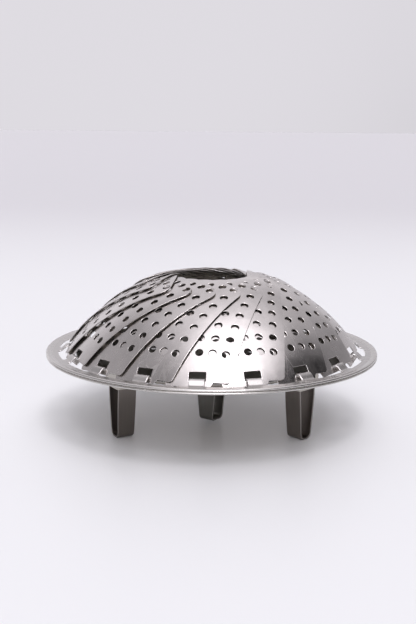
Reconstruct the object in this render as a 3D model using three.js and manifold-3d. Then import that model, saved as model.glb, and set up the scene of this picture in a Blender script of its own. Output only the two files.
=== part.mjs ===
// A collapsible petal steamer basket, closed to a dome and standing on three folding legs.
// Millimetres, +Z up. The origin lies on the table under the middle of the basket, the front faces -Y,
// and angles round the basket run from the front towards +X.

import * as THREE from 'three';
import { mergeVertices } from 'three/addons/utils/BufferGeometryUtils.js';
import Module from 'manifold-3d';

// Rim ring with its arched hinge bars
const BASE_SHEET = 0.8;
const HINGE_DIAMETER = 156.8;
const SLOT_OUTER_GAP = 5;
const SLOT_INNER_GAP = 4.4;
const RIM_FLAT_WIDTH = 3.8;
const BEAD_WIDTH = 2.8;
const BEAD_HEIGHT = 3.2;
const BEAD_RISE = 0.5;
const BEAD_CHAMFER = 0.6;
const BAR_WIDTH = 7.3;
const BAR_LAP = 5;

// Petals
const PETAL_COUNT = 18;
const FIRST_PETAL_TURN = THREE.MathUtils.degToRad(-5);
const PETAL_SHEET = 0.4;
const PETAL_GAP = 0.85;
const DOME_RISE = 40.5;
const TOP_OPENING_DIAMETER = 37;
const FOOT_WIDTH = 31;
const SHOULDER_WIDTH = 58;
const SHOULDER_CORNER = 5;
const TIP_BOW = 7.7;
const FOOT_RAISE = 2;
const STRIP_HEIGHT = 2.4;
const HINGE_CLEARANCE = 1;
const WINDOW_HEIGHT = 4.6;
const WINDOW_CLEARANCE = 0.5;
const TAB_SIDE = 2.4;
const STEAM_HOLE_DIAMETER = 3.65;
const HOLE_EDGE_DISTANCE = 6;
const FIRST_ROW_RISE = 15.8;
const LAST_ROW_DROP = 6.4;
const ROW_COUNT = 7;

// Base dish
const DISH_DEPTH = 4.4;
const FLANGE_WIDTH = 8;
const DISH_WALL_RUN = 3.5;
const DRAIN_HOLE_DIAMETER = 4;
const INNER_DRAIN_DIAMETER = 52;
const INNER_DRAIN_COUNT = 9;
const OUTER_DRAIN_DIAMETER = 76;
const OUTER_DRAIN_COUNT = 15;

// Legs with their brackets and pins. The first leg stands a little turned from its radius.
const LEG_COUNT = 3;
const FIRST_LEG_TURN = THREE.MathUtils.degToRad(60);
const LEG_TWIST = THREE.MathUtils.degToRad(-14.5);
const LEG_INSET = 8.5;
const LEG_LENGTH = 31;
const LEG_STRIP_WIDTH = 10;
const LEG_SHEET = 1;
const LEG_TOP_WIDTH = 13;
const LEG_FOOT_WIDTH = 9.5;
const LEG_FOOT_CORNER = 3;
const LEG_CLEARANCE = 0.5;
const PIN_DIAMETER = 2.5;
const PIN_CLEARANCE = 0.2;
const PIN_HEAD_DIAMETER = 4.5;
const PIN_HEAD_LENGTH = 0.9;
const BRACKET_SHEET = 1;
const EAR_MARGIN = 2;

// Lifting loop in the middle
const LOOP_TURN = THREE.MathUtils.degToRad(53);
const LOOP_STRIP_WIDTH = 12;
const LOOP_SHEET = 1;
const LOOP_GAP = 8;
const LOOP_CORNER = 2.5;
const LOOP_GROUND_GAP = 1.8;
const LOOP_CLEARANCE = 0.4;

// How finely curves are divided
const RIM_SEGMENTS = 36;
const ARC_SEGMENTS = 2;
const PIN_SIDES = 8;
const HOLE_SIDES = 6;
const PETAL_COLUMNS = 5;

// Heights above the table and radii that follow from the sizes
const hingeRadius = HINGE_DIAMETER / 2;
const slotOuterRadius = hingeRadius + SLOT_OUTER_GAP;
const rimRadius = slotOuterRadius + RIM_FLAT_WIDTH + BEAD_WIDTH;
const flangeRadius = hingeRadius - SLOT_INNER_GAP;
const floorRadius = flangeRadius - FLANGE_WIDTH - DISH_WALL_RUN;
const legRadius = floorRadius - LEG_INSET;
const pinDrop = LEG_STRIP_WIDTH / 2 + LEG_CLEARANCE;
const pinHeight = LEG_LENGTH;
const dishUnderside = pinHeight + pinDrop;
const dishFloorTop = dishUnderside + BASE_SHEET;
const flangeTop = dishFloorTop + DISH_DEPTH;
const rimTop = flangeTop + BASE_SHEET;
const hingeHeight = rimTop;
const archInside = STRIP_HEIGHT / 2 + HINGE_CLEARANCE;
const archOutside = archInside + BASE_SHEET;

// The closed petals lie on one sphere through the hinge circle and the edge of the top opening
const openingRadius = TOP_OPENING_DIAMETER / 2;
const sphereDrop = (hingeRadius ** 2 - openingRadius ** 2 - DOME_RISE ** 2) / (2 * DOME_RISE);
const domeRadius = Math.hypot(hingeRadius, sphereDrop);
const footSlope = Math.atan2(hingeRadius, sphereDrop);
const tipSlope = Math.atan2(openingRadius, sphereDrop + DOME_RISE);
const middleSlope = (footSlope + tipSlope) / 2;
const petalHalfLength = domeRadius * Math.sin((footSlope - tipSlope) / 2);
const petalStep = 2 * Math.PI / PETAL_COUNT;
const petalClimb = (PETAL_SHEET + PETAL_GAP) / petalStep;
const windowWidth = BAR_WIDTH + 2 * WINDOW_CLEARANCE;
const firstRow = FIRST_ROW_RISE - petalHalfLength;
const lastRow = petalHalfLength - LAST_ROW_DROP;
const rowPitch = (lastRow - firstRow) / (ROW_COUNT - 1);

// Heights of the lines that divide a flat petal, from its foot to just under the last row of holes
const petalLines = [
  -petalHalfLength - STRIP_HEIGHT / 2,
  -petalHalfLength + STRIP_HEIGHT / 2,
  -petalHalfLength + STRIP_HEIGHT / 2 + WINDOW_HEIGHT,
];
const firstHoleLine = petalLines.length;
for (let row = 0; row < ROW_COUNT; row += 1) {
  petalLines.push(firstRow + (row - 1 / 2) * rowPitch);
}

const wasm = await Module();
wasm.setup();

const steel = {
  petal: new THREE.MeshStandardMaterial({ color: 0xb9b5b2, roughness: 0.32, metalness: 1 }),
  rim: new THREE.MeshStandardMaterial({ color: 0xc4c1be, roughness: 0.25, metalness: 1 }),
  dish: new THREE.MeshStandardMaterial({ color: 0xb4b1ae, roughness: 0.35, metalness: 1 }),
  leg: new THREE.MeshStandardMaterial({ color: 0x9c9793, roughness: 0.4, metalness: 1 }),
  pin: new THREE.MeshStandardMaterial({ color: 0xa5a19d, roughness: 0.3, metalness: 1 }),
};

function solidOf(geometry) {
  geometry.deleteAttribute('normal');
  geometry.deleteAttribute('uv');
  const merged = mergeVertices(geometry);
  const vertProperties = new Float32Array(merged.attributes.position.array);
  const triVerts = new Uint32Array(merged.index.array);
  return new wasm.Manifold(new wasm.Mesh({ numProp: 3, vertProperties, triVerts }));
}

function geometryOf(solid) {
  const mesh = solid.getMesh();
  const geometry = new THREE.BufferGeometry();
  geometry.setAttribute('position', new THREE.BufferAttribute(mesh.vertProperties, 3));
  geometry.setIndex(new THREE.BufferAttribute(mesh.triVerts, 1));
  geometry.computeVertexNormals();
  return geometry;
}

function pieceOf(name, solid, material) {
  const piece = new THREE.Mesh(geometryOf(solid), material);
  piece.name = name;
  return piece;
}

// A closed outline of radius and height pairs, turned round the Z axis
function turned(outline, segments) {
  const points = [...outline, outline[0]].map(([radius, height]) => new THREE.Vector2(radius, height));
  return solidOf(new THREE.LatheGeometry(points, segments).rotateX(Math.PI / 2));
}

// A flat shape given depth along its own normal, centred on its plane
function thickened(shape, depth) {
  const options = { depth, bevelEnabled: false, curveSegments: ARC_SEGMENTS };
  return new THREE.ExtrudeGeometry(shape, options).translate(0, 0, -depth / 2);
}

// A shape drawn across (x) and up (y) stands up, facing the front
function standing(shape, depth) {
  return thickened(shape, depth).rotateX(Math.PI / 2);
}

// A shape drawn outwards (x) and up (y) stands in the plane of the front radius
function radial(shape, depth) {
  return thickened(shape, depth).rotateX(Math.PI / 2).rotateZ(-Math.PI / 2);
}

function roundedBar(halfWidth, bottom, top, corner) {
  const shape = new THREE.Shape();
  shape.moveTo(-halfWidth + corner, bottom);
  shape.lineTo(halfWidth - corner, bottom);
  shape.quadraticCurveTo(halfWidth, bottom, halfWidth, bottom + corner);
  shape.lineTo(halfWidth, top - corner);
  shape.quadraticCurveTo(halfWidth, top, halfWidth - corner, top);
  shape.lineTo(-halfWidth + corner, top);
  shape.quadraticCurveTo(-halfWidth, top, -halfWidth, top - corner);
  shape.lineTo(-halfWidth, bottom + corner);
  shape.quadraticCurveTo(-halfWidth, bottom, -halfWidth + corner, bottom);
  return shape;
}

// How far up the straight sides a height lies: 0 at the raised foot, 1 at the shoulder
function sideShare(along) {
  const foot = petalLines[1];
  const shoulder = petalHalfLength - TIP_BOW;
  return (along - foot) / (shoulder - foot);
}

function petalHalfWidth(along) {
  return THREE.MathUtils.lerp(FOOT_WIDTH, SHOULDER_WIDTH, sideShare(along)) / 2;
}

// Sides of the columns of facets: the middle column starts as wide as the window,
// and the next ones start as wide as the tabs beside it
function columnSides(along) {
  const share = sideShare(along);
  const column = SHOULDER_WIDTH / PETAL_COLUMNS;
  const inner = THREE.MathUtils.lerp(windowWidth / 2, column / 2, share);
  const outer = THREE.MathUtils.lerp(windowWidth / 2 + TAB_SIDE, column * 3 / 2, share);
  const side = petalHalfWidth(along);
  return [-side, -outer, -inner, inner, outer, side];
}

// Rows of steam holes are straight seen from above, so their ends sit lower on the petal
function droop(across) {
  return (domeRadius - Math.sqrt(domeRadius ** 2 - across ** 2)) * Math.tan(middleSlope);
}

// Corners of the facets on the flat petal. Lines run from the hinge strip to the bowed tip,
// columns from the left side to the right. The right foot is raised clear of the next petal.
function facetCorner(line, column) {
  if (line === petalLines.length) {
    const half = SHOULDER_WIDTH / 2;
    const across = half * (column * 2 / PETAL_COLUMNS - 1);
    return new THREE.Vector2(across, petalHalfLength - TIP_BOW * (across / half) ** 2);
  }
  const along = petalLines[line];
  const across = columnSides(along)[column];
  if (line === 0 && column > PETAL_COLUMNS - 2) {
    return new THREE.Vector2(across, along + FOOT_RAISE);
  }
  return new THREE.Vector2(across, line < firstHoleLine ? along : along - droop(across));
}

function stepTowards(from, to, distance) {
  return to.clone().sub(from).setLength(distance).add(from);
}

// One facet's outline, with the shoulders cut off
function facetOutline(line, column) {
  const corners = [
    facetCorner(line, column),
    facetCorner(line, column + 1),
    facetCorner(line + 1, column + 1),
    facetCorner(line + 1, column),
  ];
  const isSide = column === 0 || column === PETAL_COLUMNS - 1;
  if (line + 1 === petalLines.length && isSide) {
    const tip = column === 0 ? 3 : 2;
    const ends = [corners[tip - 1], corners[(tip + 1) % corners.length]];
    const cut = ends.map((end) => stepTowards(corners[tip], end, SHOULDER_CORNER));
    corners.splice(tip, 1, ...cut);
  }
  return new THREE.Shape(corners);
}

function steamHole(across, along) {
  const corners = [];
  for (let i = 0; i < HOLE_SIDES; i += 1) {
    const turn = -i / HOLE_SIDES * 2 * Math.PI;
    const x = across + STEAM_HOLE_DIAMETER / 2 * Math.cos(turn);
    const y = along - droop(across) + STEAM_HOLE_DIAMETER / 2 * Math.sin(turn);
    corners.push(new THREE.Vector2(x, y));
  }
  return new THREE.Path(corners);
}

// Flat sheet bent to the dome, climbing outwards from its left side to its right
function bent(sheet) {
  const place = sheet.attributes.position;
  const sideways = new THREE.Vector3(1, 0, 0);
  const point = new THREE.Vector3();
  for (let i = 0; i < place.count; i += 1) {
    point.fromBufferAttribute(place, i);
    const layer = point.z;
    point.z = Math.sqrt(domeRadius ** 2 - point.x ** 2 - point.y ** 2);
    point.applyAxisAngle(sideways, middleSlope);
    const turn = Math.atan2(point.x, -point.y);
    point.setLength(domeRadius + layer + petalClimb * turn);
    place.setXYZ(i, point.x, point.y, point.z);
  }
  return sheet;
}

// Flat facets that share edges become one sheet, with faces above and below
// and walls along the edges that belong to one facet only
function joined(facets, depth) {
  const places = [];
  const place = (corner, height) => places.push(corner.x, corner.y, height);
  const edges = new Map();
  const edgeName = (from, to) => `${from.x} ${from.y} to ${to.x} ${to.y}`;
  for (const facet of facets) {
    const { shape, holes } = facet.extractPoints(1);
    for (const face of THREE.ShapeUtils.triangulateShape(shape, holes)) {
      const corners = face.map((index) => [...shape, ...holes.flat()][index]);
      corners.forEach((corner) => place(corner, depth / 2));
      corners.reverse().forEach((corner) => place(corner, -depth / 2));
    }
    for (const outline of [shape, ...holes]) {
      outline.forEach((from, i) => {
        const to = outline[(i + 1) % outline.length];
        edges.set(edgeName(from, to), [from, to]);
      });
    }
  }
  for (const [from, to] of edges.values()) {
    if (!edges.has(edgeName(to, from))) {
      [from, to, to].forEach((corner, i) => place(corner, i < 2 ? -depth / 2 : depth / 2));
      [from, to, from].forEach((corner, i) => place(corner, i < 1 ? -depth / 2 : depth / 2));
    }
  }
  const sheet = new THREE.BufferGeometry();
  return sheet.setAttribute('position', new THREE.Float32BufferAttribute(places, 3));
}

// Rows of steam holes take turns: two near the edges, then one in the middle
function petalSolid() {
  const facets = [];
  const middle = (PETAL_COLUMNS - 1) / 2;
  for (let line = 0; line < petalLines.length; line += 1) {
    const row = line - firstHoleLine;
    const along = firstRow + row * rowPitch;
    const edge = petalHalfWidth(along) - HOLE_EDGE_DISTANCE;
    for (let column = 0; column < PETAL_COLUMNS; column += 1) {
      const side = (column - middle) / middle;
      const isWindow = line === 1 && side === 0;
      const isHoled = row >= 0 && Math.abs(side) === (row + 1) % 2;
      const facet = facetOutline(line, column);
      if (isHoled) {
        facet.holes.push(steamHole(side * edge, along));
      }
      if (!isWindow) {
        facets.push(facet);
      }
    }
  }
  return solidOf(bent(joined(facets, PETAL_SHEET)));
}

// The arched bar of one hinge, from the rim's flat over the petal's strip to the dish's flange
function barOutline() {
  const inner = flangeRadius - BAR_LAP;
  const outer = slotOuterRadius + RIM_FLAT_WIDTH / 2;
  const bottom = rimTop - BASE_SHEET;
  const shape = new THREE.Shape();
  shape.moveTo(inner, bottom);
  shape.lineTo(hingeRadius - archInside, bottom);
  shape.absarc(hingeRadius, hingeHeight, archInside, Math.PI, 0, true);
  shape.lineTo(hingeRadius + archInside, bottom);
  shape.lineTo(outer, bottom);
  shape.lineTo(outer, rimTop);
  shape.lineTo(hingeRadius + archOutside, rimTop);
  shape.absarc(hingeRadius, hingeHeight, archOutside, 0, Math.PI, false);
  shape.lineTo(inner, rimTop);
  return shape;
}

function rimSolid() {
  const flatBottom = rimTop - BASE_SHEET;
  const beadTop = rimTop + BEAD_RISE;
  const beadBottom = beadTop - BEAD_HEIGHT;
  const beadInner = rimRadius - BEAD_WIDTH;
  let rim = turned([
    [slotOuterRadius, flatBottom],
    [beadInner, flatBottom],
    [beadInner, beadBottom],
    [rimRadius - BEAD_CHAMFER, beadBottom],
    [rimRadius, beadBottom + BEAD_CHAMFER],
    [rimRadius, beadTop - BEAD_CHAMFER],
    [rimRadius - BEAD_CHAMFER, beadTop],
    [beadInner + BEAD_CHAMFER, beadTop],
    [beadInner, rimTop],
    [slotOuterRadius, rimTop],
  ], RIM_SEGMENTS);
  for (let i = 0; i < PETAL_COUNT; i += 1) {
    const bar = radial(barOutline(), BAR_WIDTH).rotateZ(FIRST_PETAL_TURN + i * petalStep);
    rim = rim.add(solidOf(bar));
  }
  return rim;
}

// Half the width of the bridge that the lifting loop straddles, and the slots on its two sides
const bridgeHalf = LOOP_GAP / 2 - LOOP_CLEARANCE;
const loopHalf = LOOP_GAP / 2 + LOOP_SHEET;

function dishSolid() {
  const wallTop = flangeRadius - FLANGE_WIDTH;
  let dish = turned([
    [0, dishUnderside],
    [floorRadius + BASE_SHEET / 2, dishUnderside],
    [wallTop + BASE_SHEET / 2, flangeTop - BASE_SHEET],
    [flangeRadius, flangeTop - BASE_SHEET],
    [flangeRadius, flangeTop],
    [wallTop, flangeTop],
    [floorRadius, dishFloorTop],
    [0, dishFloorTop],
  ], RIM_SEGMENTS);
  const drillRadius = DRAIN_HOLE_DIAMETER / 2;
  const drainCircles = [[INNER_DRAIN_DIAMETER, INNER_DRAIN_COUNT], [OUTER_DRAIN_DIAMETER, OUTER_DRAIN_COUNT]];
  for (const [diameter, count] of drainCircles) {
    for (let i = 0; i < count; i += 1) {
      const turn = i / count * 2 * Math.PI;
      const drill = new THREE.CylinderGeometry(drillRadius, drillRadius, 4 * BASE_SHEET, HOLE_SIDES);
      drill.rotateX(Math.PI / 2);
      drill.translate(diameter / 2 * Math.sin(turn), -diameter / 2 * Math.cos(turn), dishFloorTop);
      dish = dish.subtract(solidOf(drill));
    }
  }
  const slotWidth = LOOP_SHEET + 2 * LOOP_CLEARANCE;
  for (const side of [-1, 1]) {
    const slot = new THREE.BoxGeometry(slotWidth, LOOP_STRIP_WIDTH + 2 * LOOP_CLEARANCE, 4 * BASE_SHEET);
    slot.translate(side * (bridgeHalf + slotWidth / 2), 0, dishFloorTop).rotateZ(LOOP_TURN);
    dish = dish.subtract(solidOf(slot));
  }
  return dish;
}

function loopSolid() {
  const bottom = LOOP_GROUND_GAP;
  const top = dishFloorTop + LOOP_CLEARANCE + LOOP_SHEET;
  const loop = roundedBar(loopHalf, bottom, top, LOOP_CORNER);
  loop.holes.push(roundedBar(LOOP_GAP / 2, bottom + LOOP_SHEET, top - LOOP_SHEET, LOOP_CORNER - LOOP_SHEET));
  return solidOf(standing(loop, LOOP_STRIP_WIDTH).rotateZ(LOOP_TURN));
}

// A leg is a strip folded to a U: drawn from the front, then trimmed to a round end about its pin
function legSolid() {
  const top = pinHeight + LEG_STRIP_WIDTH / 2;
  const band = new THREE.Shape();
  const inside = LEG_FOOT_CORNER - LEG_SHEET;
  const topOuter = LEG_TOP_WIDTH / 2;
  const footOuter = LEG_FOOT_WIDTH / 2;
  const topInner = topOuter - LEG_SHEET;
  const footInner = footOuter - LEG_SHEET;
  band.moveTo(-footOuter + LEG_FOOT_CORNER, 0);
  band.lineTo(footOuter - LEG_FOOT_CORNER, 0);
  band.quadraticCurveTo(footOuter, 0, footOuter, LEG_FOOT_CORNER);
  band.lineTo(topOuter, top);
  band.lineTo(topInner, top);
  band.lineTo(footInner, LEG_SHEET + inside);
  band.quadraticCurveTo(footInner, LEG_SHEET, footInner - inside, LEG_SHEET);
  band.lineTo(-footInner + inside, LEG_SHEET);
  band.quadraticCurveTo(-footInner, LEG_SHEET, -footInner, LEG_SHEET + inside);
  band.lineTo(-topInner, top);
  band.lineTo(-topOuter, top);
  band.lineTo(-footOuter, LEG_FOOT_CORNER);
  band.quadraticCurveTo(-footOuter, 0, -footOuter + LEG_FOOT_CORNER, 0);
  const trim = new THREE.Shape();
  trim.moveTo(-LEG_STRIP_WIDTH / 2, 0);
  trim.lineTo(LEG_STRIP_WIDTH / 2, 0);
  trim.absarc(0, pinHeight, LEG_STRIP_WIDTH / 2, 0, Math.PI, false);
  const strip = solidOf(standing(band, 2 * LEG_STRIP_WIDTH));
  return strip.intersect(solidOf(radial(trim, 2 * LEG_TOP_WIDTH))).subtract(pinBore());
}

// The hole for the pin, through a leg's two branches and its bracket's two ears
function pinBore() {
  const radius = PIN_DIAMETER / 2 + PIN_CLEARANCE;
  const bore = new THREE.CylinderGeometry(radius, radius, 2 * (earOuter + LEG_CLEARANCE), PIN_SIDES);
  return solidOf(bore.rotateZ(Math.PI / 2).translate(0, 0, pinHeight));
}

// A bracket is a bent plate under the dish: two ears for the pin and a back wall that stops the leg
const earInner = LEG_TOP_WIDTH / 2 + LEG_CLEARANCE;
const earOuter = earInner + BRACKET_SHEET;
const stopInner = LEG_STRIP_WIDTH / 2 + LEG_CLEARANCE;

function bracketSolid() {
  const front = PIN_DIAMETER / 2 + EAR_MARGIN;
  const drop = pinDrop + PIN_DIAMETER / 2 + EAR_MARGIN;
  const depth = front + stopInner + BRACKET_SHEET;
  const middle = (front - stopInner - BRACKET_SHEET) / 2;
  const outside = new THREE.BoxGeometry(2 * earOuter, depth, drop);
  outside.translate(0, middle, dishUnderside - drop / 2);
  const inside = new THREE.BoxGeometry(2 * earInner, depth, drop);
  inside.translate(0, middle + BRACKET_SHEET, dishUnderside - drop / 2 - LEG_CLEARANCE / 2);
  return solidOf(outside).subtract(solidOf(inside)).subtract(pinBore());
}

function pinSolid() {
  const shank = PIN_DIAMETER / 2;
  const head = PIN_HEAD_DIAMETER / 2;
  const near = earOuter + PIN_CLEARANCE;
  const far = near + PIN_HEAD_LENGTH;
  const pin = turned([
    [0, -far],
    [head, -far],
    [head, -near],
    [shank, -near],
    [shank, near],
    [head, near],
    [head, far],
    [0, far],
  ], PIN_SIDES);
  return solidOf(geometryOf(pin).rotateY(Math.PI / 2).translate(0, 0, pinHeight));
}

const steamer = new THREE.Group();

steamer.add(pieceOf('rim_ring', rimSolid(), steel.rim));
steamer.add(pieceOf('base_dish', dishSolid(), steel.dish));
steamer.add(pieceOf('lift_loop', loopSolid(), steel.leg));

const petal = petalSolid();
for (let i = 0; i < PETAL_COUNT; i += 1) {
  const mesh = pieceOf(`petal_${String(i + 1).padStart(2, '0')}`, petal, steel.petal);
  mesh.position.z = hingeHeight - sphereDrop;
  mesh.rotation.z = FIRST_PETAL_TURN + i * petalStep;
  steamer.add(mesh);
}

const leg = legSolid();
const bracket = bracketSolid();
const pin = pinSolid();
for (let i = 0; i < LEG_COUNT; i += 1) {
  const stand = new THREE.Group();
  const turn = FIRST_LEG_TURN + i * 2 * Math.PI / LEG_COUNT;
  stand.position.set(legRadius * Math.sin(turn), -legRadius * Math.cos(turn), 0);
  stand.rotation.z = i === 0 ? turn + LEG_TWIST : turn;
  stand.add(pieceOf(`leg_${i + 1}`, leg, steel.leg));
  stand.add(pieceOf(`leg_bracket_${i + 1}`, bracket, steel.dish));
  stand.add(pieceOf(`leg_pin_${i + 1}`, pin, steel.pin));
  steamer.add(stand);
}

export default steamer;
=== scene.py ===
import math

import bpy
import numpy as np
from mathutils import Matrix, Vector, geometry


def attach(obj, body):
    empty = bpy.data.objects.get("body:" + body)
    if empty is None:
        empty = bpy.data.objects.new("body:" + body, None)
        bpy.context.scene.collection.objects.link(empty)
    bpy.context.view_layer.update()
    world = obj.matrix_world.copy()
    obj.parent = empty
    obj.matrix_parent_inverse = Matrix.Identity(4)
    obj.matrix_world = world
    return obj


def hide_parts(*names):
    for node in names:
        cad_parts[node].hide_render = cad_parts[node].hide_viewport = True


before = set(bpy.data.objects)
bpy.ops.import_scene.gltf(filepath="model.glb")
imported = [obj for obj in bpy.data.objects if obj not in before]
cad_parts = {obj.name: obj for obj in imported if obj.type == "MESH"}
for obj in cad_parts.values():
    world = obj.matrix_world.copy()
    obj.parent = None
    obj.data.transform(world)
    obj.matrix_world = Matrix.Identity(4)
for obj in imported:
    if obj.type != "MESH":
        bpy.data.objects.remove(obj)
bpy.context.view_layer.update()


# Base dish. A disc of stainless sheet pressed to a shallow dish with a wide flange, punched with two
# rings of drain holes and, in the middle, with the two slots that the lifting loop drops through.
def circle(radius, count, centre=(0, 0), start=0):
    turn = start + np.arange(count) / count * 2 * np.pi
    return np.stack([centre[0] + radius * np.cos(turn), centre[1] + radius * np.sin(turn)], axis=1)


def densified(corners, step):
    points = []
    for here, there in zip(corners, np.roll(corners, -1, axis=0)):
        count = max(1, math.ceil(np.linalg.norm(there - here) / step))
        points += [here + (there - here) * i / count for i in range(count)]
    return np.array(points)


def rounded(corners, radii, steps=6):
    points = []
    corners = np.array(corners, float)
    for i, corner in enumerate(corners):
        back = corners[i - 1] - corner
        ahead = corners[(i + 1) % len(corners)] - corner
        back /= np.linalg.norm(back)
        ahead /= np.linalg.norm(ahead)
        half = math.acos(np.clip(back @ ahead, -1, 1)) / 2
        cut = radii[i] / math.tan(half)
        for t in np.linspace(0, 1, steps if radii[i] else 1):
            points.append(corner + back * cut * (1 - t) ** 2 + ahead * cut * t ** 2)
    return np.array(points)


def on_metal(points, outlines):
    odd = np.zeros(len(points), bool)
    for outline in outlines:
        for (x0, y0), (x1, y1) in zip(outline, np.roll(outline, -1, axis=0)):
            if y0 != y1:
                crossed = (y0 > points[:, 1]) != (y1 > points[:, 1])
                odd ^= crossed & (points[:, 0] < x0 + (points[:, 1] - y0) * (x1 - x0) / (y1 - y0))
    return odd


def signed_area(outline):
    ahead = np.roll(outline, -1, axis=0)
    return np.sum(outline[:, 0] * ahead[:, 1] - outline[:, 1] * ahead[:, 0]) / 2


def unit(vectors):
    return vectors / np.maximum(np.linalg.norm(vectors, axis=-1, keepdims=True), 1e-12)


def cut_sheet(name, outlines, inner, clear, depth, rolls, place):
    outlines = [o if (signed_area(o) > 0) == (i == 0) else o[::-1] for i, o in enumerate(outlines)]
    insets = []
    for i, outline in enumerate(outlines):
        ahead = unit(np.roll(outline, -1, axis=0) - outline)
        along = unit(ahead + np.roll(ahead, 1, axis=0))
        insets.append(outline + rolls[i > 0] * np.stack([-along[:, 1], along[:, 0]], axis=1))
    edge = np.concatenate(outlines)
    roll = np.repeat([rolls[i > 0] for i in range(len(outlines))], [len(o) for o in outlines])
    inset = np.concatenate(insets)
    inner = inner[on_metal(inner, outlines)]
    gaps = np.array([np.min(np.hypot(*(inset - point).T)) for point in inner])
    inner = inner[gaps > clear] if len(inner) else inner
    flat = np.concatenate([edge, inset, inner.reshape(-1, 2)])
    rims = []
    first = 0
    for outline in outlines:
        count = len(outline)
        rims += [(first + i, first + (i + 1) % count) for i in range(count)]
        first += count
    bands = [(a + len(edge), b + len(edge)) for a, b in rims]
    made = geometry.delaunay_2d_cdt([Vector(p) for p in flat], rims + bands, [], 0, 1e-7)
    source = np.array([origins[0] for origins in made[3]])
    faces = source[np.array(made[2])]
    faces = faces[on_metal(flat[faces].mean(axis=1), outlines)]
    a, b, c = (flat[faces[:, i]] for i in range(3))
    turn = (b[:, 0] - a[:, 0]) * (c[:, 1] - a[:, 1]) - (b[:, 1] - a[:, 1]) * (c[:, 0] - a[:, 0])
    faces[turn < 0] = faces[turn < 0][:, ::-1]

    tiny = 0.01
    middle = place(flat)
    right = place(flat + [tiny, 0]) - place(flat - [tiny, 0])
    up = place(flat + [0, tiny]) - place(flat - [0, tiny])
    normal = unit(np.cross(right, up))
    outward = unit(middle[:len(edge)] - middle[len(edge):2 * len(edge)])
    lift = np.full(len(flat), depth / 2)
    lift[:len(edge)] -= np.minimum(roll, depth / 2) * 0.55
    points = np.concatenate([middle + normal * lift[:, None], middle - normal * lift[:, None]])
    count = len(flat)
    walls = [(a + count, b + count, b, a) for a, b in rims]
    polygons = [tuple(f) for f in faces] + [tuple(f[::-1] + count) for f in faces] + walls

    tilt = np.repeat([0.7 if i else 0.4 for i in range(len(outlines))], [len(o) for o in outlines])[:, None]
    over = normal.copy()
    over[:len(edge)] = unit(normal[:len(edge)] + outward * tilt)
    under = -normal
    under[:len(edge)] = unit(-normal[:len(edge)] + outward * tilt)
    normals = np.concatenate([over, under])
    sheet = bpy.data.meshes.new(name)
    sheet.from_pydata((points * 0.001).tolist(), [], polygons)
    layout = sheet.uv_layers.new(name="flat")
    corner = np.array([v for polygon in polygons for v in polygon])
    layout.data.foreach_set("uv", (flat[corner % count] * 0.01).astype(np.float32).ravel())
    worn = sheet.attributes.new("worn_edge", "FLOAT", "POINT")
    worn.data.foreach_set("value", np.tile(np.arange(count) < len(edge), 2).astype(np.float32))
    sheet.shade_smooth()
    sheet.normals_split_custom_set(normals[corner].tolist())
    return bpy.data.objects.new(name, sheet)


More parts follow.
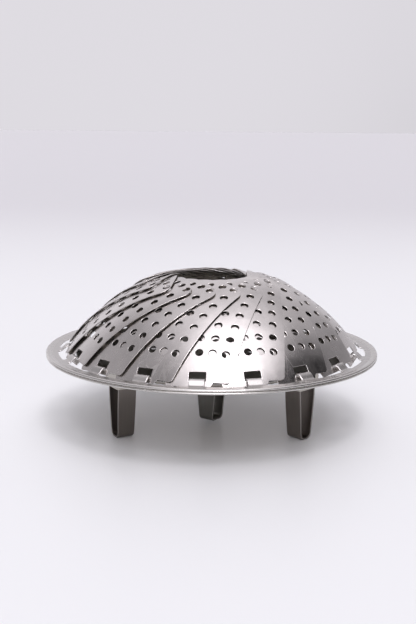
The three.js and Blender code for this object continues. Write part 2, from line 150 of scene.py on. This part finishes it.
def steel(name, colour, roughness, grain, grain_turn, wear):
    material = bpy.data.materials.new(name)
    material.use_nodes = True
    nodes = material.node_tree.nodes
    links = material.node_tree.links
    surface = nodes["Principled BSDF"]
    surface.inputs["Metallic"].default_value = 1

    def add(kind, **values):
        node = nodes.new(kind)
        for key, value in values.items():
            setattr(node, key, value)
        return node

    def feed(socket, value):
        if hasattr(value, "is_output"):
            links.new(value, socket)
        else:
            socket.default_value = value

    def noise(vector, scale, detail):
        node = add("ShaderNodeTexNoise")
        feed(node.inputs["Vector"], vector)
        feed(node.inputs["Scale"], scale)
        feed(node.inputs["Detail"], detail)
        return node.outputs["Fac"]

    def ranged(value, low, high, to_low, to_high):
        node = add("ShaderNodeMapRange")
        for socket, item in zip(node.inputs, (value, low, high, to_low, to_high)):
            feed(socket, item)
        return node.outputs["Result"]

    def sums(operation, first, second):
        node = add("ShaderNodeMath", operation=operation)
        feed(node.inputs[0], first)
        feed(node.inputs[1], second)
        return node.outputs["Value"]

    def blended(share, first, second):
        node = add("ShaderNodeMix", data_type="RGBA")
        feed(node.inputs["Factor"], share)
        feed(node.inputs["A"], first)
        feed(node.inputs["B"], second)
        return node.outputs["Result"]

    where = add("ShaderNodeTexCoord")
    own = add("ShaderNodeObjectInfo")
    shift = add("ShaderNodeVectorMath", operation="SCALE")
    shift.inputs[0].default_value = (7, 3, 5)
    links.new(own.outputs["Random"], shift.inputs["Scale"])
    start = add("ShaderNodeVectorMath", operation="ADD")
    links.new(where.outputs["UV"], start.inputs[0])
    links.new(shift.outputs["Vector"], start.inputs[1])
    lines = add("ShaderNodeMapping")
    lines.inputs["Rotation"].default_value = (0, 0, grain_turn)
    lines.inputs["Scale"].default_value = grain
    links.new(start.outputs["Vector"], lines.inputs["Vector"])
    fine = noise(lines.outputs["Vector"], 1, 4)

    stretched = add("ShaderNodeMapping")
    stretched.inputs["Rotation"].default_value = (0, 0, 0.7)
    stretched.inputs["Scale"].default_value = (9, 1.2, 1)
    links.new(start.outputs["Vector"], stretched.inputs["Vector"])
    cells = add("ShaderNodeTexVoronoi", feature="DISTANCE_TO_EDGE")
    links.new(stretched.outputs["Vector"], cells.inputs["Vector"])
    cells.inputs["Scale"].default_value = 1.1
    line = ranged(cells.outputs["Distance"], 0.0, 0.008, 1, 0)
    here = ranged(noise(start.outputs["Vector"], 1.6, 2), 0.52, 0.62, 0, 1)
    scratch = sums("MULTIPLY", line, here)

    cloud = noise(start.outputs["Vector"], 0.9, 3)
    spots = ranged(noise(start.outputs["Vector"], 5, 2), 0.62, 0.75, 0, 1)
    edge = add("ShaderNodeAttribute", attribute_name="worn_edge").outputs["Fac"]

    darker = tuple(c * 0.86 for c in colour) + (1,)
    brighter = tuple(min(1, c * 1.12) for c in colour) + (1,)
    base = blended(ranged(cloud, 0.3, 0.7, 0, 1), darker, tuple(colour) + (1,))
    base = blended(ranged(fine, 0.35, 0.7, 0, 0.3), base, brighter)
    base = blended(sums("MULTIPLY", spots, 0.25), base, darker)
    base = blended(sums("MULTIPLY", edge, wear), base, (0.9, 0.88, 0.86, 1))
    links.new(base, surface.inputs["Base Color"])

    rough = ranged(cloud, 0.3, 0.7, roughness - 0.04, roughness + 0.05)
    rough = sums("ADD", rough, ranged(fine, 0.3, 0.7, -0.03, 0.03))
    rough = sums("ADD", rough, sums("MULTIPLY", scratch, 0.18))
    rough = sums("ADD", rough, sums("MULTIPLY", edge, 0.08))
    links.new(rough, surface.inputs["Roughness"])

    height = sums("SUBTRACT", sums("MULTIPLY", fine, 0.35), sums("MULTIPLY", scratch, 0.8))
    bump = add("ShaderNodeBump")
    bump.inputs["Strength"].default_value = 0.06
    bump.inputs["Distance"].default_value = 0.00012
    links.new(height, bump.inputs["Height"])
    links.new(bump.outputs["Normal"], surface.inputs["Normal"])
    return material


def fitted(piece, material, body, slot, *nodes):
    bpy.context.scene.collection.objects.link(piece)
    piece.data.materials.append(material)
    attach(piece, body)
    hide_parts(*nodes)


def other_face(sheet, material):
    sheet.materials.append(material)
    faces = sum(polygon.loop_total == 3 for polygon in sheet.polygons) // 2
    for polygon in sheet.polygons[faces:2 * faces]:
        polygon.material_index = 1


dish_sheet = 0.8
dish_underside = 36.5
dish_low = dish_underside + dish_sheet / 2
dish_flange = 41.7 - dish_sheet / 2
dish_radius, floor_radius, wall_width = 74.0, 62.0, 5.0
drain_rings = ((26, 9), (38, 15))
drain_radius = 2.0
slot_half_width, slot_half_length = 0.9, 6.4
loop_half = 4.5
loop_turn = math.radians(53)
loop_across = np.array([math.cos(loop_turn), math.sin(loop_turn)])
loop_along = np.array([-math.sin(loop_turn), math.cos(loop_turn)])


def dish_place(flat):
    radius = np.hypot(flat[:, 0], flat[:, 1])
    share = np.clip((radius - floor_radius) / wall_width, 0, 1)
    height = dish_low + (dish_flange - dish_low) * share * share * (3 - 2 * share)
    return np.column_stack([flat, height])


dish_cuts = [circle(dish_radius, 180)]
for ring_radius, ring_count in drain_rings:
    for spot in circle(ring_radius, ring_count, start=-math.pi / 2):
        dish_cuts.append(circle(drain_radius, 20, spot))
for side in (-1, 1):
    slot = [(side * loop_half + x * slot_half_width) * loop_across + y * slot_half_length * loop_along
            for x, y in ((-1, -1), (1, -1), (1, 1), (-1, 1))]
    dish_cuts.append(densified(rounded(slot, [0.4] * 4, 4), 2))
dish_points = np.concatenate([circle(radius, max(12, int(radius * 1.6)))
                              for radius in (6, 12, 18, 24, 30, 36, 42, 48, 54, 59, 61.5, 62.5, 63.5,
                                             64.5, 65.5, 66.5, 67.5, 69.5, 72)])
dish = cut_sheet("base_dish_pressing", dish_cuts, dish_points, 0.5, dish_sheet, (0.25, 0.25), dish_place)
# The dish's inside face takes a darker copy of the dish steel, which is painted shade inside the basket. The
# underside keeps the plain steel.
dish_inside_painted_shade = steel("dish_inside_painted_shade", (0.30, 0.283, 0.252), 0.4, (3, 60, 1), 0.3, 0.5)
dish_steel = steel("dish_steel", (0.62, 0.572, 0.515), 0.34, (3, 60, 1), 0.3, 0.5)
fitted(dish, dish_inside_painted_shade, "frame", "dish_steel", "base_dish")
other_face(dish.data, dish_steel)


# Leg brackets. A strip of sheet bent to three walls and welded under the dish: two ears with a hole for
# the pin, and a back wall that the leg's flank comes to rest against when it stands.
def strip_place(path, width_way, centre, turn, narrowing):
    path = np.array(path, float)
    run = np.concatenate([[0], np.cumsum(np.linalg.norm(np.diff(path, axis=0), axis=1))])
    cos, sin = math.cos(turn), math.sin(turn)

    def place(flat):
        points = np.stack([np.interp(flat[:, 0], run, path[:, i]) for i in range(3)], axis=1)
        foot = np.clip(1 - np.abs(flat[:, 0] - run[-1] / 2) / 20, 0, 1)
        points += (flat[:, 1] * (1 - narrowing * foot))[:, None] * np.array(width_way)
        x, y = points[:, 0].copy(), points[:, 1].copy()
        points[:, 0] = centre[0] + x * cos - y * sin
        points[:, 1] = centre[1] + x * sin + y * cos
        return points

    return place, run[-1]


def grid(x0, x1, y0, y1, step_x, step_y):
    x, y = np.meshgrid(np.arange(x0, x1, step_x), np.arange(y0, y1, step_y))
    return np.stack([x.ravel(), y.ravel()], axis=1)


def bend(points, radius, steps=9):
    points = [np.array(p, float) for p in points]
    path = [points[0]]
    for before, corner, after in zip(points, points[1:], points[2:]):
        back = (before - corner) / np.linalg.norm(before - corner)
        ahead = (after - corner) / np.linalg.norm(after - corner)
        half = math.acos(np.clip(back @ ahead, -1, 1)) / 2
        middle = corner + (back + ahead) / np.linalg.norm(back + ahead) * radius / math.sin(half)
        first = corner + back * radius / math.tan(half) - middle
        last = corner + ahead * radius / math.tan(half) - middle
        sweep = math.pi - 2 * half
        for t in np.linspace(0, 1, steps):
            spoke = first * math.sin((1 - t) * sweep) + last * math.sin(t * sweep)
            path.append(middle + spoke / math.sin(sweep))
    return path + [points[-1]]


leg_places = [math.radians(60 + 120 * i) for i in range(3)]
leg_turns = [leg_places[0] - math.radians(14.5), leg_places[1], leg_places[2]]
leg_radius = 54.0
leg_spots = [(leg_radius * math.sin(turn), -leg_radius * math.cos(turn)) for turn in leg_places]
pin_height = 31.0
bracket_steel = steel("bracket_steel", (0.46, 0.433, 0.393), 0.33, (3, 70, 1), 0.0, 0.45)
bracket_sheet = 1.0
ear_side, ear_reach, back_wall = 7.5, 3.25, -6.0
ear_low, ear_hole = 27.75, 1.4
bracket_path = bend([(-ear_side, ear_reach, 0), (-ear_side, back_wall, 0),
                     (ear_side, back_wall, 0), (ear_side, ear_reach, 0)], 1.0)
for i, (turn, spot) in enumerate(zip(leg_turns, leg_spots)):
    place, length = strip_place(bracket_path, (0, 0, 1), spot, turn, 0)
    outline = rounded([(0, ear_low), (length, ear_low), (length, dish_underside), (0, dish_underside)],
                      [2.4, 2.4, 0.3, 0.3])
    cuts = [densified(outline, 1), circle(ear_hole, 20, (ear_reach, pin_height)),
            circle(ear_hole, 20, (length - ear_reach, pin_height))]
    points = grid(0, length, 28, dish_underside, 0.5, 2)
    bracket = cut_sheet(f"leg_bracket_{i + 1}_plate", cuts, points, 0.3, bracket_sheet, (0.2, 0.2), place)
    fitted(bracket, bracket_steel, "frame", "dish_steel", f"leg_bracket_{i + 1}")


# Leg pins. Lengths of drawn stainless wire pushed through the ears and the leg, with both ends headed
# over to a low dome so that they stay in.
def turned(name, profile, count, close):
    profile = np.array(profile, float)
    turn = np.arange(count) / count * 2 * np.pi
    points = [(r * math.cos(a), r * math.sin(a), z) for r, z in profile for a in turn]
    rows = len(profile)
    polygons = []
    for row in range(rows if close else rows - 1):
        low, high = row * count, (row + 1) % rows * count
        for i in range(count):
            j = (i + 1) % count
            polygons.append((low + i, low + j, high + j, high + i))
    mesh = bpy.data.meshes.new(name)
    mesh.from_pydata([(x * 0.001, y * 0.001, z * 0.001) for x, y, z in points], [], polygons)
    run = np.concatenate([[0], np.cumsum(np.linalg.norm(np.diff(profile, axis=0), axis=1))])
    layout = mesh.uv_layers.new(name="flat")
    around = profile[:, 0].max()
    corner = 0
    for polygon in polygons:
        for vertex in polygon:
            layout.data[corner].uv = (turn[vertex % count] * around * 0.01, run[vertex // count] * 0.01)
            corner += 1
    mesh.shade_smooth()
    mesh.set_sharp_from_angle(angle=math.radians(40))
    return bpy.data.objects.new(name, mesh)


pin_steel = steel("pin_steel", (0.52, 0.515, 0.466), 0.26, (40, 3, 1), 0.0, 0.0)
pin_radius = 1.25
head_near, head_far = 8.2, 9.1
half_pin = [(pin_radius, 0), (pin_radius, head_near), (2.1, head_near), (2.25, head_near + 0.15),
            (2.2, head_near + 0.45), (1.8, head_far - 0.15), (1.0, head_far - 0.02), (0.02, head_far)]
pin_profile = [(r, -z) for r, z in half_pin[:0:-1]] + half_pin
for i, (turn, spot) in enumerate(zip(leg_turns, leg_spots)):
    pin = turned(f"leg_pin_{i + 1}_rivet", pin_profile, 32, False)
    pin.rotation_euler = (0, math.pi / 2, turn)
    pin.location = (spot[0] * 0.001, spot[1] * 0.001, pin_height * 0.001)
    fitted(pin, pin_steel, "frame", "pin_steel", f"leg_pin_{i + 1}")


# Legs. Strips of steel folded to a narrow U with a rounded foot, both ends rounded off and drilled,
# swinging on their pins.
leg_steel = steel("leg_steel", (0.20, 0.180, 0.163), 0.34, (4, 90, 1), 0.0, 0.12)
leg_sheet = 1.0
leg_half_width, leg_hole = 5.0, 1.45
leg_side = [(6.2, 36), (5.6, 23), (3.7, leg_sheet / 2)]
leg_path = bend([(-x, 0, z) for x, z in leg_side] + [(x, 0, z) for x, z in leg_side[::-1]], 2.6)
for i, (turn, spot) in enumerate(zip(leg_turns, leg_spots)):
    place, length = strip_place(leg_path, (0, 1, 0), spot, turn, 0.1)
    half_turn = np.linspace(0, math.pi, 16)
    first_end = np.stack([1 - np.sin(half_turn), -np.cos(half_turn)], axis=1) * leg_half_width
    outline = np.concatenate([first_end, [length, 0] - first_end])[::-1]
    cuts = [densified(outline, 2), circle(leg_hole, 20, (leg_half_width, 0)),
            circle(leg_hole, 20, (length - leg_half_width, 0))]
    points = grid(0.5, length, -4.5, leg_half_width, 0.7, 2.25)
    leg = cut_sheet(f"leg_{i + 1}_strip", cuts, points, 0.3, leg_sheet, (0.2, 0.2), place)
    fitted(leg, leg_steel, f"leg_{i + 1}", "leg_steel", f"leg_{i + 1}")


# Lifting loop. A closed loop of the same strip that straddles the bridge in the dish's floor: it hangs
# below the basket, and is pulled up to lift it out of the pan.
# The loop is the same strip as the legs, but its steel is darker than theirs. This is painted shade, because
# it hangs in the shadow under the basket.
loop_shaded_steel = steel("loop_shaded_steel", (0.172, 0.168, 0.152), 0.34, (4, 90, 1), 0.0, 0.12)
loop_top, loop_foot, loop_half_width = 38.2, 2.3, 6.0
loop_path = bend([(0, 0, loop_top), (-loop_half, 0, loop_top), (-loop_half, 0, loop_foot),
                  (loop_half, 0, loop_foot), (loop_half, 0, loop_top), (0, 0, loop_top)], 2.0)
place, length = strip_place(loop_path, (0, 1, 0), (0, 0), loop_turn, 0.36)
loop_outline = rounded([(0, -loop_half_width), (length, -loop_half_width),
                        (length, loop_half_width), (0, loop_half_width)], [0.2] * 4, 3)
loop_points = grid(0.5, length, -5, loop_half_width, 0.7, 2)
loop_cuts = [densified(loop_outline, 1)]
loop = cut_sheet("lift_loop_strip", loop_cuts, loop_points, 0.3, leg_sheet, (0.2, 0.2), place)
fitted(loop, loop_shaded_steel, "lift_loop", "leg_steel", "lift_loop")


# Rim ring. A flat ring of sheet with one arched bar per petal on its inner side; each bar passes over a
# petal's cross strip and through its window, and its end is spot-welded on the dish's flange.
hinge_radius, hinge_height = 78.4, 42.5
ring_sheet = 0.8
ring_level = hinge_height - ring_sheet / 2
arch_rise, arch_half = 2.55, 3.7
slot_radius, bar_end, bar_half = 83.4, 69.0, 3.65
petal_turns = [math.radians(-5 + 20 * k) for k in range(18)]


def ring_place(flat):
    azimuth = np.arctan2(flat[:, 0], -flat[:, 1])
    nearest = np.round((azimuth - petal_turns[0]) / math.radians(20)) * math.radians(20) + petal_turns[0]
    out = flat[:, 0] * np.sin(nearest) - flat[:, 1] * np.cos(nearest)
    share = np.clip(np.abs(out - hinge_radius) / arch_half, 0, 1)
    arch = arch_rise * np.power(np.cos(share * np.pi / 2) ** 2, 0.75)
    return np.column_stack([flat, ring_level + arch])


def ring_inner_side():
    corners, radii = [], []
    reach = math.sqrt(slot_radius ** 2 - bar_half ** 2)
    margin = math.asin((bar_half + 1.8) / slot_radius)
    for turn in petal_turns:
        out = np.array([math.sin(turn), -math.cos(turn)])
        along = np.array([math.cos(turn), math.sin(turn)])
        corners += [along * x + out * y for x, y in ((-bar_half, reach), (-bar_half, bar_end),
                                                     (bar_half, bar_end), (bar_half, reach))]
        radii += [1.2, 0.5, 0.5, 1.2]
        for a in np.linspace(turn + margin, turn + math.radians(20) - margin, 16):
            corners.append(np.array([math.sin(a), -math.cos(a)]) * slot_radius)
            radii.append(0)
    return densified(rounded(corners, radii, 5), 0.8)


def bar_points():
    points = []
    for turn in petal_turns:
        out = np.array([math.sin(turn), -math.cos(turn)])
        along = np.array([math.cos(turn), math.sin(turn)])
        for y in np.concatenate([np.arange(70, 74, 1.5), np.arange(74.4, 82.6, 0.4)]):
            points += [along * x + out * y for x in (-2.4, -0.8, 0.8, 2.4)]
    return np.array(points)


ring_steel = steel("ring_steel", (0.55, 0.530, 0.510), 0.27, (2, 50, 1), 0.5, 0.5)
ring_points = np.concatenate([bar_points(), circle(85.4, 240)])
ring_cuts = [circle(88.2, 360), ring_inner_side()]
ring = cut_sheet("rim_ring_plate", ring_cuts, ring_points, 0.3, ring_sheet, (0.2, 0.2), ring_place)
fitted(ring, ring_steel, "frame", "rim_steel", "rim_ring")


# Rolled edge. The ring's outer margin is curled down and under to a flat bead with a fine seam round its
# outside, which stiffens it and leaves no sharp edge.
bead_steel = steel("bead_steel", (0.60, 0.582, 0.558), 0.20, (60, 2, 1), 0.0, 0.0)
upper_sweep = np.radians(np.linspace(-35, 95, 12))
lower_sweep = np.radians(np.linspace(190, 395, 15))
bead_upper = [(88.8 + 1.15 * math.cos(a), 42.25 + 0.75 * math.sin(a)) for a in upper_sweep]
bead_lower = [(88.75 + 1.2 * math.cos(a), 40.9 + 0.75 * math.sin(a)) for a in lower_sweep]
bead_fillet = [(88.2, 42.9), (87.6, 42.72), (87.0, 42.58), (86.5, 42.48), (86.5, 42.2)]
bead_profile = bead_upper + bead_fillet + bead_lower + [(89.1, 41.58)]
bead = turned("rim_bead", bead_profile, 288, True)
bpy.context.scene.collection.objects.link(bead)
bead.data.materials.append(bead_steel)
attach(bead, "frame")


# Petals. Sheets of thin stainless steel, punched with rows of steam holes and a window, then bent to the
# dome. The strip left under the window is the hinge pin that turns under the ring's arched bar.
petal_sheet = 0.4
dome_rise, opening_radius = 40.1, 18.5
dome_drop = (hinge_radius ** 2 - opening_radius ** 2 - dome_rise ** 2) / (2 * dome_rise)
dome_radius = math.hypot(hinge_radius, dome_drop)
foot_slope = math.atan2(hinge_radius, dome_drop)
tip_slope = math.atan2(opening_radius, dome_drop + dome_rise)
petal_slope = (foot_slope + tip_slope) / 2
petal_half = dome_radius * math.sin((foot_slope - tip_slope) / 2)
petal_climb = 1.1 / math.radians(20)
shoulder_half, foot_half, tip_bow = 29.0, 15.5, 7.7
foot_line = -petal_half + 1.2
window_half, window_height = 4.15, 4.6
hole_radius, first_row, row_pitch = 1.97, 15.8, 8.35
shoulder_line = petal_half - tip_bow


def petal_place(flat):
    x, y = flat[:, 0], flat[:, 1]
    flatter = np.interp(y, (-petal_half, -20, 0), (0.5, 0.75, 1))
    z = np.sqrt(dome_radius ** 2 - flatter * x ** 2 - y ** 2)
    cos, sin = math.cos(petal_slope), math.sin(petal_slope)
    points = np.stack([x, y * cos - z * sin, y * sin + z * cos], axis=1)
    turn = np.arctan2(points[:, 0], -points[:, 1])
    return points * (1 + petal_climb * turn / dome_radius)[:, None]


def petal_side(along):
    share = (along - foot_line) / (shoulder_line - foot_line)
    return foot_half + (shoulder_half - foot_half) * share


def petal_outline():
    bottom = -petal_half - 1.2
    raised = bottom + 2.0
    tab = window_half + 2.4
    corners = [(-petal_side(bottom), bottom), (tab, bottom),
               (tab + 1.2, raised), (petal_side(raised), raised)]
    radii = [1.0, 0.4, 0.6, 2.4]
    lower = rounded(corners + [(shoulder_half, shoulder_line), (-shoulder_half, shoulder_line)],
                    radii + [0, 0])[:-2]
    tip = [(x, petal_half - 0.5 - tip_bow * (x / shoulder_half) ** 2) for x in np.linspace(24.5, -24.5, 33)]
    right = [(petal_side(y), y) for y in np.linspace(-petal_half + 6, shoulder_line - 5, 24)]
    left = [(-x, y) for x, y in right[::-1]]
    a, b, c = (np.array(p) for p in (right[-1], (shoulder_half - 0.4, shoulder_line - 0.6), tip[0]))
    curve = [a * (1 - t) ** 2 + 2 * b * t * (1 - t) + c * t ** 2 for t in np.linspace(0, 1, 9)[1:-1]]
    other = [(-x, y) for x, y in curve[::-1]]
    return np.concatenate([lower, right, curve, tip, other, left])


def petal_holes():
    rows = [(0, 6.4, 12.8), (0, 7.2, 14.3), (0, 8.1, 16.2), (3.6, 10.8, 17.9), (3.9, 11.8, 19.7),
            (0, 7.3, 14.7, 22.0), (3.6, 10.6, 17.4, 23.6)]
    holes = []
    for row, spots in enumerate(rows):
        along = -petal_half + first_row + row_pitch * row
        for across in sorted({side * x for x in spots for side in (-1, 1)}):
            droop = (dome_radius - math.sqrt(dome_radius ** 2 - across ** 2)) * math.tan(petal_slope)
            holes.append(circle(hole_radius, 22, (across, along - droop)))
    return holes


window_top = foot_line + window_height
window = rounded([(-window_half, foot_line), (window_half, foot_line),
                  (window_half, window_top), (-window_half, window_top)], [0.5] * 4, 4)
petal_cuts = [densified(petal_outline(), 1.5), densified(window, 1)] + petal_holes()
petal_points = grid(-30, 30, -38, 38, 3.0, 3.0)
petal_pattern = cut_sheet("petal_sheet", petal_cuts, petal_points, 0.8, petal_sheet, (0.1, 0.18), petal_place)
petal_mesh = petal_pattern.data
petal_steel = steel("petal_steel", (0.655, 0.623, 0.602), 0.25, (26, 20, 1), 0.0, 0.15)
# The petals' inner faces take a darker, duller copy of the petal steel. This is painted shade inside the dome
# and in the gaps between the petals.
petal_shade_steel = steel("petal_inside_painted_shade", (0.45, 0.412, 0.35), 0.5, (26, 20, 1), 0.0, 0.3)
petal_mesh.materials.append(petal_steel)
other_face(petal_mesh, petal_shade_steel)
for k, turn in enumerate(petal_turns):
    petal = bpy.data.objects.new(f"petal_{k + 1:02d}_sheet", petal_mesh)
    bpy.context.scene.collection.objects.link(petal)
    petal.location = (0, 0, (hinge_height - dome_drop) * 0.001)
    petal.rotation_euler = (0, 0, turn)
    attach(petal, f"petal_{k + 1:02d}")
    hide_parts(f"petal_{k + 1:02d}")


# Table. A wide sheet of pale studio paper with a faint gloss, laid flat under the basket.
# Its colour gets a little greyer towards the back: painted shade where the paper meets the wall.
table_mesh = bpy.data.meshes.new("table")
table_mesh.from_pydata([(-14, -14, 0), (14, -14, 0), (14, 14, 0), (-14, 14, 0)], [], [(0, 1, 2, 3)])
table = bpy.data.objects.new("table", table_mesh)
bpy.context.scene.collection.objects.link(table)
paper = bpy.data.materials.new("pale_paper")
paper.use_nodes = True
paper_nodes, paper_links = paper.node_tree.nodes, paper.node_tree.links
paper_surface = paper_nodes["Principled BSDF"]
paper_surface.inputs["Roughness"].default_value = 0.38
paper_surface.inputs["Specular IOR Level"].default_value = 0.3
spot = paper_nodes.new("ShaderNodeSeparateXYZ")
paper_links.new(paper_nodes.new("ShaderNodeNewGeometry").outputs["Position"], spot.inputs["Vector"])
# Painted shade: the paper's colour darkens from the near tone to a greyer far tone towards the back.
shade_towards_back = paper_nodes.new("ShaderNodeMapRange")
shade_towards_back.interpolation_type = "SMOOTHSTEP"
shade_towards_back.inputs["From Min"].default_value = 0.25
shade_towards_back.inputs["From Max"].default_value = 1.5
paper_links.new(spot.outputs["Y"], shade_towards_back.inputs["Value"])
paper_and_back_shade = paper_nodes.new("ShaderNodeMix")
paper_and_back_shade.data_type = "RGBA"
paper_links.new(shade_towards_back.outputs["Result"], paper_and_back_shade.inputs["Factor"])
paper_and_back_shade.inputs["A"].default_value = (0.79, 0.80, 0.801, 1)
paper_and_back_shade.inputs["B"].default_value = (0.625, 0.618, 0.636, 1)
paper_links.new(paper_and_back_shade.outputs["Result"], paper_surface.inputs["Base Color"])
table_mesh.materials.append(paper)


# Studio light. Soft boxes overhead and in front, dim walls at the sides and a pale wall behind the
# basket, each a soft patch of the sky, with a grey strip of wall all round above the table. The light
# is a little cool. Steel and camera see the same walls.
world = bpy.data.worlds.new("studio")
bpy.context.scene.world = world
world.use_nodes = True
sky = world.node_tree.nodes
wires = world.node_tree.links
direction = sky.new("ShaderNodeTexCoord").outputs["Generated"]


def lit(before, azimuth, elevation, start, full, power):
    azimuth, elevation = math.radians(azimuth), math.radians(elevation)
    facing = sky.new("ShaderNodeVectorMath")
    facing.operation = "DOT_PRODUCT"
    wires.new(direction, facing.inputs[0])
    facing.inputs[1].default_value = (math.sin(azimuth) * math.cos(elevation),
                                      -math.cos(azimuth) * math.cos(elevation), math.sin(elevation))
    patch = sky.new("ShaderNodeMapRange")
    patch.interpolation_type = "SMOOTHSTEP"
    wires.new(facing.outputs["Value"], patch.inputs["Value"])
    patch.inputs["From Min"].default_value = math.cos(math.radians(start))
    patch.inputs["From Max"].default_value = math.cos(math.radians(full))
    patch.inputs["To Max"].default_value = power
    total = sky.new("ShaderNodeMath")
    wires.new(patch.outputs["Result"], total.inputs[0])
    if before is None:
        total.inputs[1].default_value = 0
    else:
        wires.new(before, total.inputs[1])
    return total.outputs["Value"]


light = lit(None, 0, 90, 45, 10, 0.48)
light = lit(light, 24, 74, 31, 8, 1.3)
light = lit(light, 2, 58, 32, 8, 0.66)
light = lit(light, 15, 62, 10, 5, 13.0)
light = lit(light, -55, 50, 32, 10, 0.25)
light = lit(light, 165, 64, 48, 10, 0.63)
light = lit(light, -115, 15, 55, 12, 0.5)
light = lit(light, 130, 10, 41, 12, 0.31)
light = lit(light, 2, 44, 14, 5, 3.0)
light = lit(light, 0, 8, 50, 12, 1.45)
light = lit(light, 186, 10, 48, 5, 0.735)
walls = sky.new("ShaderNodeMath")
walls.operation = "MAXIMUM"
wires.new(light, walls.inputs[0])
wires.new(lit(None, 0, -90, 114, 99, 0.62), walls.inputs[1])
wires.new(walls.outputs["Value"], sky["Background"].inputs["Strength"])
sky["Background"].inputs["Color"].default_value = (1, 0.971, 1.03, 1)


# Camera. It stands half a metre in front of the basket and a little above it, and looks slightly
# down through a moderately long lens.
lens = bpy.data.cameras.new("camera")
lens.sensor_fit = "VERTICAL"
lens.sensor_height = 36
lens.lens = 57.4
camera = bpy.data.objects.new("camera", lens)
bpy.context.scene.collection.objects.link(camera)
camera.location = (0, -0.5338, 0.1652)
tilt = Matrix.Rotation(math.radians(90 - 10.92), 3, "X") @ Matrix.Rotation(math.radians(0.49), 3, "Z")
camera.rotation_euler = (Matrix.Rotation(math.radians(0.23), 3, "Z") @ tilt).to_euler()
bpy.context.scene.camera = camera
bpy.context.scene.view_settings.view_transform = "Standard"
